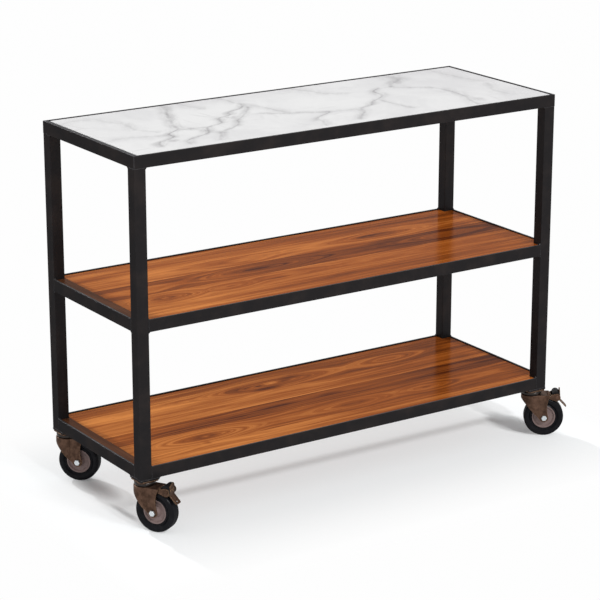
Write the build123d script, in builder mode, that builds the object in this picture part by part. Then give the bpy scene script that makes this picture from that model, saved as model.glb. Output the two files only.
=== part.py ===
from build123d import *
import os
from math import acos, atan2, cos, hypot, radians, sin, sqrt

# Cheese trolley: a welded steel frame on four swivel casters, with a marble slab on top
# and two timber shelves below.  Millimetres; +Z up, +X along the length, +Y to the back.
# The origin is on the floor, under the middle of the frame.

# ---------------------------------------------------------------- frame sizes
length = 1200.0  # over the outer faces of the posts, along X
depth = 435.0  # over the outer faces of the posts, along Y
top_height = 900.0  # floor to the rim of the top frame
middle_shelf_bottom = 486.0  # floor to the underside of the middle rails

tube = 30.0  # outside size of the posts, and both legs of the angle rails
tube_wall = 2.0  # wall of the square tube
tube_corner = 1.5  # outer corner radius of the square tube
angle_wall = 5.0  # thickness of the angle iron
angle_root = 1.5  # fillet inside the angle's corner
angle_edge = 0.8  # rounding of the angle's other edges
weld_leg = 3.0  # leg of the fillet welds

# ---------------------------------------------------------------- what the frame carries
shelf_thickness = 23.0
shelf_gap = 2.0  # between the timber and the steel around it
bottom_planks = (58, 93, 68, 76, 75, 51)  # boards of the bottom shelf from the front, as shares
middle_planks = (77, 90, 92, 79, 83)  # the same for the middle shelf
glue_line = 0.2
timber_ease = 0.8  # eased top edges of the timber
marble_thickness = 20.0
marble_gap = 3.0  # between the slab and the rim
marble_ease = 1.0  # polished arris of the slab
underlay_thickness = 4.0
filler_width = 7.0  # flat bar welded inside the rim at the left end, level with the slab
filler_height = 19.0
filler_play = 0.5  # between the bar's ends and the long rails

screw_radius = 2.0
screw_head_radius = 4.0
screw_head_height = 2.4
screw_pitch = 300.0  # between the screws along the long rails
screws_per_long_rail = 4
end_screw_pitch = 200.0  # between the two screws of a short rail
shelf_screw_length = 20.0  # under the head
top_screw_length = 8.0
screw_clearance = 0.25  # hole in the steel, each side
pilot_clearance = 0.05  # hole in the timber, each side

# ---------------------------------------------------------------- caster sizes
caster_headroom = 28.0  # tread of the wheels to the underside of the frame
kingpin_inset = 25.0  # kingpin axis to both outer faces of the frame's corner
corner_plate_size = 50.0
corner_plate_thickness = 5.0
caster_plate_size = 50.0
caster_plate_thickness = 3.0
caster_plate_corner = 6.0

race_radius = 25.5
race_height = 10.0
race_wall = 3.0
race_gap = 0.5  # between the race's rim and the fork's crown
ball_radius = 3.5
ball_circle = 17.0
ball_count = 12
ball_play = 0.2  # under the balls
seat_play = 0.05  # fits of round pieces that stay together

kingpin_radius = 8.0
king_bolt_radius = 5.0
king_bolt_head = 16.0  # across flats
king_bolt_head_height = 6.4
king_bolt_reach = 4.5  # thread in the corner plate
washer_radius = 13.0
washer_thickness = 2.5
running_clearance = 0.05  # radial, shaft in hole
swivel_play = 0.2  # between the crown and the washer below it

fork_sheet = 3.0
crown_radius = 27.0
fork_width = 44.5  # over the legs
fork_reach = 46.0  # kingpin axis to the back edge of the legs at the crown
fork_waist = 39.3  # the same where the legs are narrowest
crown_front_drop = 7.5  # height of the skirt at the front of the crown
boss_radius = 11.6  # rounded end of the legs, about the axle
crown_bend = 2.0  # outside radius where the crown turns down
trail = 32.0  # kingpin axis to axle

wheel_radius = 51.0
tyre_depth = 21.0  # bore of the tyre to its tread
tyre_width = 32.0
tyre_shoulder = 7.0
sidewall_depth = 5.0  # how far the sidewall steps in at its groove
sidewall_swell = 0.8
# Heights on the sidewall over the bore, as shares of the tyre's depth: both edges of the
# groove's floor, the swell, and the widest point.
groove_foot, groove_top, swell_level, widest_level = 0.10, 0.21, 0.41, 0.52
hub_width = 25.0
hub_rim = 3.0  # depth of the hub's rim
hub_dish = 3.5
hub_boss_radius = 10.5
hub_boss_foot = 4.0  # slope between boss and web
hub_side_gap = 0.6  # between the hub's boss and the fork legs
axle_radius = 4.0
axle_head = 13.0  # across flats
axle_head_height = 5.3
axle_nut_height = 6.5
axle_thread_end = 2.0  # thread beyond the nut
spacer_radius = 6.0
head_chamfer = 0.8

# ---------------------------------------------------------------- brake sizes
brake_pin_drop = 3.5  # underside of the crown to the brake pin's axis
brake_pin_standoff = 11.77  # tread to the brake pin's axis
cheek_radius = 10.0
cheek_sheet = 2.5
cheek_gap = 30.0  # between the two cheeks
bracket_start = 38.0  # kingpin axis to the front of the bracket's web
bracket_end = 49.0
bracket_depth = 5.0  # height of the cheeks' front ends
bracket_notch = 0.3  # between the tongue's end and the step in the cheeks
tongue_width = 32.0  # tongue of the crown that carries the bracket
tongue_corner = 5.0
brake_pin_radius = 3.0
brake_pin_head = 5.0  # radius of the pin's riveted ends
bracket_rivet_pitch = 9.5
rivet_radius = 2.0
rivet_head_radius = 3.6
rivet_head_height = 1.6
cam_side_gap = 0.5  # between the cam and each cheek
cam_radius = 9.5
cam_lobe_radius = 4.0
cam_tyre_gap = 0.4  # locked cam to tread
cam_lobe_lag = 6.0  # degrees from the line through pin and axle to the lobe
cam_crest_rise = 7.0  # centre of the cam's upper part over the pin
cam_crest_back = 2.0  # and towards the kingpin
pedal_sheet = 2.5
pedal_width = 21.0
pedal_seat = 6.4  # pin axis to the pedal's inner face
pedal_top = 20.5  # pin axis to the pedal's tip
pedal_low_shoulder = 13.5  # pin axis to the pedal's lower shoulder
pedal_high_shoulder = 15.5  # the same on its other side
pedal_fold = 9.0  # pin axis down to the fold
pedal_tail = 27.0  # length of the lower tab
pedal_tail_angle = 47.0  # degrees below level
pedal_tail_corner = 4.0
pedal_hole_radius = 2.5
pedal_hole_inset = 7.0
pedal_slot_gap = 0.3  # between the pedal's edges and the cam's slot
pedal_rivet_reach = 3.0  # how far the pedal's rivets go into the cam

# Each caster: sides of the frame along X and Y, the way its wheel trails (degrees in plan
# from +X), and whether it has a brake.
casters = {
    "front_left": (-1, -1, -60.0, True),
    "front_right": (1, -1, -34.0, True),
    "rear_left": (-1, 1, -46.0, False),
    "rear_right": (1, 1, -50.0, False),
}

# ---------------------------------------------------------------- levels worked out from the sizes
frame_bottom = 2 * wheel_radius + caster_headroom
top_ledge = top_height - tube
slab_bottom = top_ledge + angle_wall + underlay_thickness
slab_top = slab_bottom + marble_thickness
post_height = top_ledge - frame_bottom
caster_plate_top = frame_bottom - corner_plate_thickness
race_top = caster_plate_top - caster_plate_thickness
race_bottom = race_top - race_height
crown_top = race_bottom - race_gap
crown_bottom = crown_top - fork_sheet
washer_top = crown_bottom - swivel_play
washer_bottom = washer_top - washer_thickness
ball_height = crown_top + ball_play + ball_radius
leg_inside = fork_width / 2 - fork_sheet
hub_radius = wheel_radius - tyre_depth
brake_pin_height = crown_bottom - brake_pin_drop
brake_pin_reach = trail + sqrt(
    (wheel_radius + brake_pin_standoff) ** 2 - (brake_pin_height - wheel_radius) ** 2
)

# The four sides of the frame: turn about Z from the front, length of the side, and
# distance from the frame's middle to its outer face.
sides = {
    "front": (0.0, length, depth / 2),
    "right": (90.0, depth, length / 2),
    "back": (180.0, length, depth / 2),
    "left": (270.0, depth, length / 2),
}

os.makedirs("parts", exist_ok=True)


def write(node, name):
    """Label a finished piece and write it as its own STEP file."""
    node.part.label = name
    export_step(node.part, f"parts/{name}.step")


# ---------------------------------------------------------------- planes on the frame's sides
def inward(turn):
    """Horizontal direction from a side of the frame to its middle."""
    return Vector(-sin(radians(turn)), cos(radians(turn)), 0)


def side_point(side, height):
    """Middle of a side's outer face, at a height."""
    turn, _, reach = sides[side]
    return inward(turn) * -reach + Vector(0, 0, height)


def section_plane(side, height):
    """Across a rail: local x goes inward and local y goes up."""
    into = inward(sides[side][0])
    return Plane(origin=side_point(side, height), x_dir=into, z_dir=into.cross(Vector(0, 0, 1)))


def plan_plane(side, height):
    """On a rail from above: local x goes along the rail and local y goes inward."""
    along = inward(sides[side][0]).cross(Vector(0, 0, 1))
    return Plane(origin=side_point(side, height), x_dir=along, z_dir=(0, 0, 1))


def face_plane(side):
    """On a side's outer face: local x goes along the side and local y is the height."""
    into = inward(sides[side][0])
    return Plane(origin=side_point(side, 0), x_dir=into.cross(Vector(0, 0, 1)), z_dir=into * -1)


def screw_places(side):
    """Places of a rail's screws, along it and inward from its outer face."""
    if side in ("front", "back"):
        span = screw_pitch * (screws_per_long_rail - 1)
        along = [screw_pitch * i - span / 2 for i in range(screws_per_long_rail)]
    else:
        along = [-end_screw_pitch / 2, end_screw_pitch / 2]
    return [(u, (angle_wall + tube) / 2) for u in along]


# ---------------------------------------------------------------- frame
def make_post(where, side_x, side_y):
    """Square tube from the underside of the frame to the ledge of the top frame."""
    middle = (side_x * (length - tube) / 2, side_y * (depth - tube) / 2)
    bore = tube - 2 * tube_wall
    with BuildPart() as post:
        with BuildSketch(Plane.XY.offset(frame_bottom)):
            with Locations(middle):
                RectangleRounded(tube, tube, tube_corner)
                Rectangle(bore, bore, mode=Mode.SUBTRACT)
        extrude(amount=post_height)
    write(post, f"post_{where}")


def in_root(corner):
    """Whether a corner of the angle's section belongs to the fillet at its root."""
    return hypot(corner.X - angle_wall, corner.Y - angle_wall) < 2 * angle_root


def make_rail(level, side, height, mitred):
    """Length of angle iron: between the posts, or mitred to its neighbours over them."""
    run = sides[side][1] if mitred else sides[side][1] - 2 * tube
    with BuildPart() as rail:
        with BuildSketch(section_plane(side, height)) as section:
            with BuildLine():
                Polyline(
                    (0, 0),
                    (tube, 0),
                    (tube, angle_wall),
                    (angle_wall, angle_wall),
                    (angle_wall, tube),
                    (0, tube),
                    close=True,
                )
            make_face()
            root = section.vertices().sort_by_distance((angle_wall, angle_wall))[0]
            fillet(root, angle_root)
            fillet([v for v in section.vertices() if not in_root(v)], angle_edge)
        extrude(amount=run / 2, both=True)
        if mitred:
            with BuildSketch(plan_plane(side, height)):
                with BuildLine():
                    Polyline(
                        (-run / 2, 0),
                        (run / 2, 0),
                        (run / 2 - tube, tube),
                        (tube - run / 2, tube),
                        close=True,
                    )
                make_face()
            extrude(amount=tube, mode=Mode.INTERSECT)
        with BuildSketch(plan_plane(side, height)):
            with Locations(*screw_places(side)):
                Circle(screw_radius + screw_clearance)
        extrude(amount=angle_wall, mode=Mode.SUBTRACT)
        if level == "top" and side == "left":
            with BuildSketch(plan_plane(side, slab_top)):
                with Locations((0, angle_wall + filler_width / 2)):
                    Rectangle(run - 2 * (angle_wall + filler_play), filler_width)
            extrude(amount=-filler_height)
    write(rail, f"{level}_rail_{side}")


def make_weld_beads():
    """Fillet welds under the ledges and on the rails' upper edges, at posts and corner plates."""
    plate_end = kingpin_inset + corner_plate_size / 2
    under_ledge = [(tube, middle_shelf_bottom), (tube, top_ledge), (plate_end, frame_bottom)]
    on_edge = [middle_shelf_bottom + tube, frame_bottom + tube]
    with BuildPart() as beads:
        for side in sides:
            half = sides[side][1] / 2
            for end in (-1, 1):
                for from_corner, height in under_ledge:
                    face = end * (half - from_corner)
                    with BuildSketch(face_plane(side)):
                        with BuildLine():
                            Polyline(
                                (face, height),
                                (face - end * weld_leg, height),
                                (face, height - weld_leg),
                                close=True,
                            )
                        make_face()
                    extrude(amount=-(tube - weld_leg))
                for height in on_edge:
                    face = end * (half - tube)
                    with BuildSketch(face_plane(side)):
                        with BuildLine():
                            Polyline(
                                (face, height),
                                (face - end * weld_leg, height),
                                (face, height + weld_leg),
                                close=True,
                            )
                        make_face()
                    extrude(amount=-angle_wall)
    write(beads, "weld_beads")


def kingpin_place(where):
    """Kingpin axis in plan."""
    side_x, side_y = casters[where][:2]
    return side_x * (length / 2 - kingpin_inset), side_y * (depth / 2 - kingpin_inset)


def make_corner_plates():
    """Square plates welded under the corners, tapped for the king bolts."""
    with BuildPart() as plates:
        with BuildSketch(Plane.XY.offset(caster_plate_top)):
            with Locations(*[kingpin_place(where) for where in casters]):
                Rectangle(corner_plate_size, corner_plate_size)
                Circle(king_bolt_radius + seat_play, mode=Mode.SUBTRACT)
        extrude(amount=corner_plate_thickness)
    write(plates, "corner_plates")


# ---------------------------------------------------------------- top and shelves
def make_shelf(name, rail_bottom, shares):
    """Glued planks on the ledges.  At the right end they run on between the posts."""
    seat = rail_bottom + angle_wall
    left_end = -(length / 2 - tube - shelf_gap / 2)
    right_end = length / 2 - angle_wall - shelf_gap
    shelf_depth = depth - 2 * (angle_wall + shelf_gap)
    share_width = (shelf_depth - glue_line * (len(shares) - 1)) / sum(shares)
    notch = tube + shelf_gap / 2
    front = -shelf_depth / 2
    with BuildPart() as shelf:
        for share in shares:
            with BuildSketch(Plane.XY.offset(seat)):
                with Locations(((left_end + right_end) / 2, front + share * share_width / 2)):
                    Rectangle(right_end - left_end, share * share_width)
                for way in (-1, 1):
                    with Locations((length / 2 - notch / 2, way * (depth / 2 - notch / 2))):
                        Rectangle(notch, notch, mode=Mode.SUBTRACT)
            extrude(amount=shelf_thickness)
            front += share * share_width + glue_line
        long_top_edges = shelf.edges().filter_by(Axis.X).group_by(Axis.Z)[-1]
        outer_edges = long_top_edges.sort_by(Axis.Y)
        chamfer([outer_edges[0], outer_edges[-1]], timber_ease)
        for side in ("front", "back", "right"):
            with BuildSketch(plan_plane(side, seat)):
                with Locations(*screw_places(side)):
                    Circle(screw_radius + pilot_clearance)
            extrude(amount=shelf_screw_length - angle_wall, mode=Mode.SUBTRACT)
    write(shelf, name)


def make_end_battens():
    """Cross-grain battens that close the left end of both shelves, between the posts."""
    inner = length / 2 - tube - shelf_gap / 2
    outer = length / 2 - angle_wall - shelf_gap
    run = depth - 2 * tube - shelf_gap
    with BuildPart() as battens:
        for rail_bottom in (frame_bottom, middle_shelf_bottom):
            seat = rail_bottom + angle_wall
            with BuildSketch(Plane.XY.offset(seat)):
                with Locations((-(inner + outer) / 2, 0)):
                    Rectangle(outer - inner - 2 * glue_line, run)
            extrude(amount=shelf_thickness)
            with BuildSketch(plan_plane("left", seat)):
                with Locations(*screw_places("left")):
                    Circle(screw_radius + pilot_clearance)
            extrude(amount=shelf_screw_length - angle_wall, mode=Mode.SUBTRACT)
    write(battens, "shelf_end_battens")


def make_top():
    """Plywood underlay screwed to the ledges, and the marble slab bedded on it."""
    clear_length = length - 2 * (angle_wall + marble_gap)
    clear_depth = depth - 2 * (angle_wall + marble_gap)
    seat = top_ledge + angle_wall
    with BuildPart() as underlay:
        with BuildSketch(Plane.XY.offset(seat)):
            Rectangle(clear_length, clear_depth)
        extrude(amount=underlay_thickness)
        for side in sides:
            with BuildSketch(plan_plane(side, seat)):
                with Locations(*screw_places(side)):
                    Circle(screw_radius + pilot_clearance)
            extrude(amount=underlay_thickness, mode=Mode.SUBTRACT)
    write(underlay, "top_underlay")
    with BuildPart() as slab:
        with BuildSketch(Plane.XY.offset(slab_bottom)):
            with Locations((filler_width / 2, 0)):
                Rectangle(clear_length - filler_width, clear_depth)
        extrude(amount=marble_thickness)
        chamfer(slab.faces().sort_by(Axis.Z)[-1].edges(), marble_ease)
    write(slab, "marble_top")


def make_screws():
    """Pan-head screws from below, through every ledge."""
    rows = [
        (frame_bottom, shelf_screw_length),
        (middle_shelf_bottom, shelf_screw_length),
        (top_ledge, top_screw_length),
    ]
    with BuildPart() as screws:
        for ledge, reach in rows:
            for side in sides:
                with BuildSketch(plan_plane(side, ledge)):
                    with Locations(*screw_places(side)):
                        Circle(screw_head_radius)
                extrude(amount=-screw_head_height)
                with BuildSketch(plan_plane(side, ledge)):
                    with Locations(*screw_places(side)):
                        Circle(screw_radius)
                extrude(amount=reach)
        heads = screws.edges().filter_by(GeomType.CIRCLE)
        rims = heads.filter_by(lambda e: abs(e.radius - screw_head_radius) < 0.01)
        for ledge, _ in rows:
            low = ledge - screw_head_height
            chamfer(rims.filter_by(lambda e: abs(e.center().Z - low) < 0.01), screw_head_height / 3)
    write(screws, "shelf_screws")


# ---------------------------------------------------------------- planes on a caster
def swivel_plane(where, height):
    """Level plane of a caster's turning part: local x is the way the wheel trails."""
    x, y = kingpin_place(where)
    heading = radians(casters[where][2])
    return Plane(origin=(x, y, height), x_dir=(cos(heading), sin(heading), 0), z_dir=(0, 0, 1))


def upright_plane(where):
    """Upright plane through kingpin and wheel: local x trails, local y is the height."""
    level = swivel_plane(where, 0)
    return Plane(origin=level.origin, x_dir=level.x_dir, z_dir=level.y_dir * -1)


def kingpin_axis(where):
    return Axis((*kingpin_place(where), 0), (0, 0, 1))


def across_axis(where, reach, height):
    """Level line across a caster, at a distance from its kingpin."""
    start = upright_plane(where).from_local_coords((reach, height, 0))
    return Axis(start, swivel_plane(where, 0).y_dir)


def wheel_plane(where):
    """Upright plane along the axle: local x runs along it and local y is up from it."""
    level = swivel_plane(where, 0)
    middle = level.from_local_coords((trail, 0, wheel_radius))
    return Plane(origin=middle, x_dir=level.y_dir, z_dir=level.x_dir)


# ---------------------------------------------------------------- swivel heads
def make_caster_plate(where):
    """Top plate of a caster with its hollow kingpin, clamped under the corner plate."""
    with BuildPart() as plate:
        with BuildSketch(Plane.XY.offset(race_top)):
            with Locations(kingpin_place(where)):
                RectangleRounded(caster_plate_size, caster_plate_size, caster_plate_corner)
        extrude(amount=caster_plate_thickness)
        with BuildSketch(Plane.XY.offset(washer_top)):
            with Locations(kingpin_place(where)):
                Circle(kingpin_radius)
        extrude(amount=race_top - washer_top)
        with BuildSketch(Plane.XY.offset(washer_top)):
            with Locations(kingpin_place(where)):
                Circle(king_bolt_radius + seat_play)
        extrude(amount=caster_plate_top - washer_top, mode=Mode.SUBTRACT)
    write(plate, f"caster_plate_{where}")


def make_race(where):
    """Upper ball race with its turned-down rim, round the kingpin."""
    roof = ball_height + ball_radius + seat_play
    inner = kingpin_radius + seat_play
    with BuildPart() as race:
        with BuildSketch(upright_plane(where)):
            with BuildLine():
                Polyline(
                    (race_radius - race_wall, race_bottom),
                    (race_radius - race_wall, roof),
                    (inner, roof),
                    (inner, race_top),
                    (race_radius - race_wall, race_top),
                )
                ThreePointArc(
                    (race_radius - race_wall, race_top),
                    (race_radius - race_wall * 0.2, race_top - race_height * 0.22),
                    (race_radius, race_top - race_height * 0.55),
                )
                ThreePointArc(
                    (race_radius, race_top - race_height * 0.55),
                    (race_radius - race_wall * 0.15, race_bottom + race_height * 0.18),
                    (race_radius - race_wall * 0.5, race_bottom),
                )
                Line((race_radius - race_wall * 0.5, race_bottom), (race_radius - race_wall, race_bottom))
            make_face()
        revolve(axis=kingpin_axis(where))
    write(race, f"ball_race_{where}")


def make_balls():
    """Rings of steel balls between the races and the crowns."""
    with BuildPart() as balls:
        for where in casters:
            x, y = kingpin_place(where)
            with Locations((x, y, ball_height)):
                with PolarLocations(ball_circle, ball_count):
                    Sphere(ball_radius)
    write(balls, "swivel_balls")


def make_king_bolts():
    """Bolts up through the hollow kingpins, each with the washer that holds its fork."""
    with BuildPart() as bolts:
        for where in casters:
            place = kingpin_place(where)
            with BuildSketch(Plane.XY.offset(washer_bottom)):
                with Locations(place):
                    Circle(washer_radius)
            extrude(amount=washer_thickness)
            with BuildSketch(Plane.XY.offset(washer_bottom)):
                with Locations(place):
                    RegularPolygon(king_bolt_head / 2, 6, major_radius=False)
            extrude(amount=-king_bolt_head_height)
            with BuildSketch(Plane.XY.offset(washer_bottom)):
                with Locations(place):
                    Circle(king_bolt_radius)
            extrude(amount=caster_plate_top + king_bolt_reach - washer_bottom)
    write(bolts, "king_bolts")


# ---------------------------------------------------------------- forks
def make_fork(where):
    """Pressed fork: round crown, two legs, and on a braked caster a tongue for the bracket."""
    low = wheel_radius - boss_radius - fork_sheet
    over = crown_top + fork_sheet
    corner = (-crown_radius - fork_sheet, crown_top - crown_front_drop)
    away = hypot(corner[0] - trail, corner[1] - wheel_radius)
    lean = atan2(corner[1] - wheel_radius, corner[0] - trail) + acos(boss_radius / away)
    touch = (trail + boss_radius * cos(lean), wheel_radius + boss_radius * sin(lean))
    rise = radians(12)
    behind = (trail + boss_radius * cos(rise), wheel_radius + boss_radius * sin(rise))
    waist = (fork_waist, (wheel_radius + crown_top + fork_width / 8) / 2)
    with BuildPart() as fork:
        with BuildSketch(swivel_plane(where, low)):
            Circle(crown_radius)
            with Locations((fork_reach / 2, 0)):
                Rectangle(fork_reach, fork_width)
        extrude(amount=crown_top - low)
        crown_edges = fork.faces().sort_by(Axis.Z)[-1].edges()
        back_edge = crown_edges.sort_by(lambda e: -swivel_plane(where, 0).to_local_coords(e.center()).X)[0]
        fillet([e for e in crown_edges if e is not back_edge], crown_bend)
        with BuildSketch(swivel_plane(where, low)):
            Circle(crown_radius - fork_sheet)
            with Locations((fork_reach, 0)):
                Rectangle(2 * fork_reach, 2 * leg_inside)
        extrude(amount=crown_bottom - low, mode=Mode.SUBTRACT)
        with BuildSketch(upright_plane(where)):
            with BuildLine():
                Polyline(
                    (fork_reach, crown_bottom),
                    (fork_reach, over),
                    (corner[0], over),
                    corner,
                    touch,
                )
                ThreePointArc(touch, (trail, wheel_radius - boss_radius), behind)
                ThreePointArc(behind, waist, (fork_reach, crown_bottom))
            make_face()
        extrude(amount=crown_radius + fork_sheet, both=True, mode=Mode.INTERSECT)
        if casters[where][3]:
            with BuildSketch(swivel_plane(where, crown_bottom)):
                with Locations((bracket_end / 2, 0)):
                    RectangleRounded(bracket_end, tongue_width, tongue_corner)
            extrude(amount=fork_sheet)
            with BuildSketch(swivel_plane(where, crown_bottom)):
                with Locations(*bracket_rivet_places()):
                    Circle(rivet_radius + seat_play)
            extrude(amount=fork_sheet, mode=Mode.SUBTRACT)
        with BuildSketch(swivel_plane(where, crown_bottom)):
            Circle(kingpin_radius + running_clearance)
        extrude(amount=fork_sheet, mode=Mode.SUBTRACT)
        with BuildSketch(upright_plane(where)):
            with Locations((trail, wheel_radius)):
                Circle(axle_radius + seat_play)
        extrude(amount=fork_width, both=True, mode=Mode.SUBTRACT)
    write(fork, f"fork_{where}")


def make_axle(where):
    """Axle bolt and nut through the legs, with the spacer tube that the hub turns on."""
    near = upright_plane(where).offset(fork_width / 2)
    far = upright_plane(where).offset(-fork_width / 2)
    with BuildPart() as axle:
        with BuildSketch(near):
            with Locations((trail, wheel_radius)):
                RegularPolygon(axle_head / 2, 6, major_radius=False)
        extrude(amount=axle_head_height)
        rim = axle.faces().sort_by(lambda f: near.to_local_coords(f.center()).Z)[-1]
        chamfer(rim.edges(), head_chamfer)
        with BuildSketch(near):
            with Locations((trail, wheel_radius)):
                Circle(axle_radius)
        extrude(amount=-(fork_width + axle_nut_height + axle_thread_end))
        with BuildSketch(far):
            with Locations((trail, wheel_radius)):
                RegularPolygon(axle_head / 2, 6, major_radius=False)
                Circle(axle_radius + seat_play, mode=Mode.SUBTRACT)
        extrude(amount=-axle_nut_height)
        with BuildSketch(upright_plane(where)):
            with Locations((trail, wheel_radius)):
                Circle(spacer_radius)
                Circle(axle_radius + seat_play, mode=Mode.SUBTRACT)
        extrude(amount=leg_inside, both=True)
    write(axle, f"axle_{where}")


# ---------------------------------------------------------------- wheels
def make_hub(where):
    """Dished wheel centre with a boss that runs on the spacer tube."""
    bore = spacer_radius + running_clearance
    boss_half = leg_inside - hub_side_gap
    rim_half = hub_width / 2
    web_half = rim_half - hub_dish
    with BuildPart() as hub:
        with BuildSketch(wheel_plane(where)):
            for end in (-1, 1):
                with BuildLine():
                    Polyline(
                        (0, bore),
                        (end * boss_half, bore),
                        (end * boss_half, hub_boss_radius),
                        (end * web_half, hub_boss_radius + hub_boss_foot),
                        (end * web_half, hub_radius - 2 * hub_rim),
                        (end * rim_half, hub_radius - hub_rim),
                        (end * rim_half, hub_radius),
                        (0, hub_radius),
                        close=True,
                    )
                make_face()
        revolve(axis=across_axis(where, trail, wheel_radius))
    write(hub, f"hub_{where}")


def make_tyre(where):
    """Rubber tyre: stepped sidewall groove next to the hub, rounded shoulders, flat tread."""
    half = tyre_width / 2
    bead_half = hub_width / 2
    groove_half = half - sidewall_depth
    with BuildPart() as tyre:
        with BuildSketch(wheel_plane(where)):
            for end in (-1, 1):
                with BuildLine():
                    Polyline(
                        (0, wheel_radius),
                        (0, hub_radius),
                        (end * bead_half, hub_radius),
                        (end * groove_half, hub_radius + groove_foot * tyre_depth),
                        (end * groove_half, hub_radius + groove_top * tyre_depth),
                        (end * (half - sidewall_swell), hub_radius + swell_level * tyre_depth),
                        (end * half, hub_radius + widest_level * tyre_depth),
                        (end * half, wheel_radius - tyre_shoulder),
                    )
                    corner = tyre_shoulder * (1 - cos(radians(45)))
                    ThreePointArc(
                        (end * half, wheel_radius - tyre_shoulder),
                        (end * (half - corner), wheel_radius - corner),
                        (end * (half - tyre_shoulder), wheel_radius),
                    )
                    Line((end * (half - tyre_shoulder), wheel_radius), (0, wheel_radius))
                make_face()
        revolve(axis=across_axis(where, trail, wheel_radius))
    write(tyre, f"tyre_{where}")


# ---------------------------------------------------------------- brakes
def bracket_rivet_places():
    """Rivets that hold the brake bracket under the crown's tongue, on the caster's level plane."""
    middle = (bracket_start + bracket_end) / 2
    return [(middle, -bracket_rivet_pitch), (middle, 0), (middle, bracket_rivet_pitch)]


def make_brake_bracket(where):
    """Folded bracket: web under the tongue, and two cheeks that hold the brake pin."""
    outer = cheek_gap / 2 + cheek_sheet
    pivot = (brake_pin_reach, brake_pin_height)
    with BuildPart() as bracket:
        for near_face in (-outer, cheek_gap / 2):
            with BuildSketch(upright_plane(where).offset(near_face)):
                with Locations(pivot):
                    Circle(cheek_radius)
                with Locations(((bracket_start + bracket_end) / 2, crown_bottom - bracket_depth / 2)):
                    Rectangle(bracket_end - bracket_start, bracket_depth)
                make_hull()
                with Locations((bracket_start, crown_bottom)):
                    Rectangle(
                        bracket_end + bracket_notch - bracket_start,
                        cheek_radius,
                        align=(Align.MIN, Align.MIN),
                        mode=Mode.SUBTRACT,
                    )
            extrude(amount=cheek_sheet)
        with BuildSketch(swivel_plane(where, crown_bottom)):
            with Locations(((bracket_start + bracket_end) / 2, 0)):
                Rectangle(bracket_end - bracket_start, 2 * outer)
        extrude(amount=-cheek_sheet)
        with BuildSketch(swivel_plane(where, crown_bottom)):
            with Locations(*bracket_rivet_places()):
                Circle(rivet_radius + seat_play)
        extrude(amount=-cheek_sheet, mode=Mode.SUBTRACT)
        with BuildSketch(upright_plane(where)):
            with Locations(pivot):
                Circle(brake_pin_radius + seat_play)
        extrude(amount=outer, both=True, mode=Mode.SUBTRACT)
    write(bracket, f"brake_bracket_{where}")


def make_brake_rivets(where):
    """Three rivets through tongue and bracket."""
    with BuildPart() as rivets:
        with BuildSketch(swivel_plane(where, crown_bottom - cheek_sheet)):
            with Locations(*bracket_rivet_places()):
                Circle(rivet_radius)
        extrude(amount=fork_sheet + cheek_sheet)
        with BuildSketch(swivel_plane(where, crown_top)):
            with Locations(*bracket_rivet_places()):
                Circle(rivet_head_radius)
        extrude(amount=rivet_head_height)
        domes = rivets.edges().filter_by(lambda e: abs(e.center().Z - crown_top - rivet_head_height) < 0.01)
        fillet(domes, rivet_head_height * 0.8)
    write(rivets, f"brake_rivets_{where}")


def make_brake_pin(where):
    """Pin through both cheeks, riveted over at both ends."""
    outer = cheek_gap / 2 + cheek_sheet
    with BuildPart() as pin:
        with BuildSketch(upright_plane(where)):
            with Locations((brake_pin_reach, brake_pin_height)):
                Circle(brake_pin_radius)
        extrude(amount=outer, both=True)
        for way in (-1, 1):
            with BuildSketch(upright_plane(where).offset(way * outer)):
                with Locations((brake_pin_reach, brake_pin_height)):
                    Circle(brake_pin_head)
            extrude(amount=way * rivet_head_height)
            circles = pin.edges().filter_by(GeomType.CIRCLE)
            ends = circles.filter_by(lambda e: abs(e.radius - brake_pin_head) < 0.01)
            tip = ends.sort_by(lambda e: way * upright_plane(where).to_local_coords(e.center()).Z)[-1]
            fillet(tip, rivet_head_height * 0.8)
    write(pin, f"brake_pin_{where}")


def pedal_plane(where):
    """Inner face of the pedal: local x runs across the caster and local y is up from the pin."""
    level = swivel_plane(where, 0)
    seat = level.from_local_coords((brake_pin_reach + pedal_seat, 0, brake_pin_height))
    return Plane(origin=seat, x_dir=level.y_dir, z_dir=level.x_dir)


def pedal_rivet_places():
    """Rivets that hold the pedal to the cam, on the pedal's plane."""
    return [(-pedal_width / 4, cam_crest_rise / 2), (pedal_width / 4, cam_crest_rise / 2)]


def tail_plane(where):
    """Inner face of the pedal's lower tab: local x runs down it from the fold."""
    upright = upright_plane(where)
    slope = radians(pedal_tail_angle)
    fold = (brake_pin_reach + pedal_seat, brake_pin_height - pedal_fold, 0)
    down = upright.x_dir * cos(slope) - upright.y_dir * sin(slope)
    return Plane(origin=upright.from_local_coords(fold), x_dir=down, z_dir=upright.z_dir.cross(down))


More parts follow.
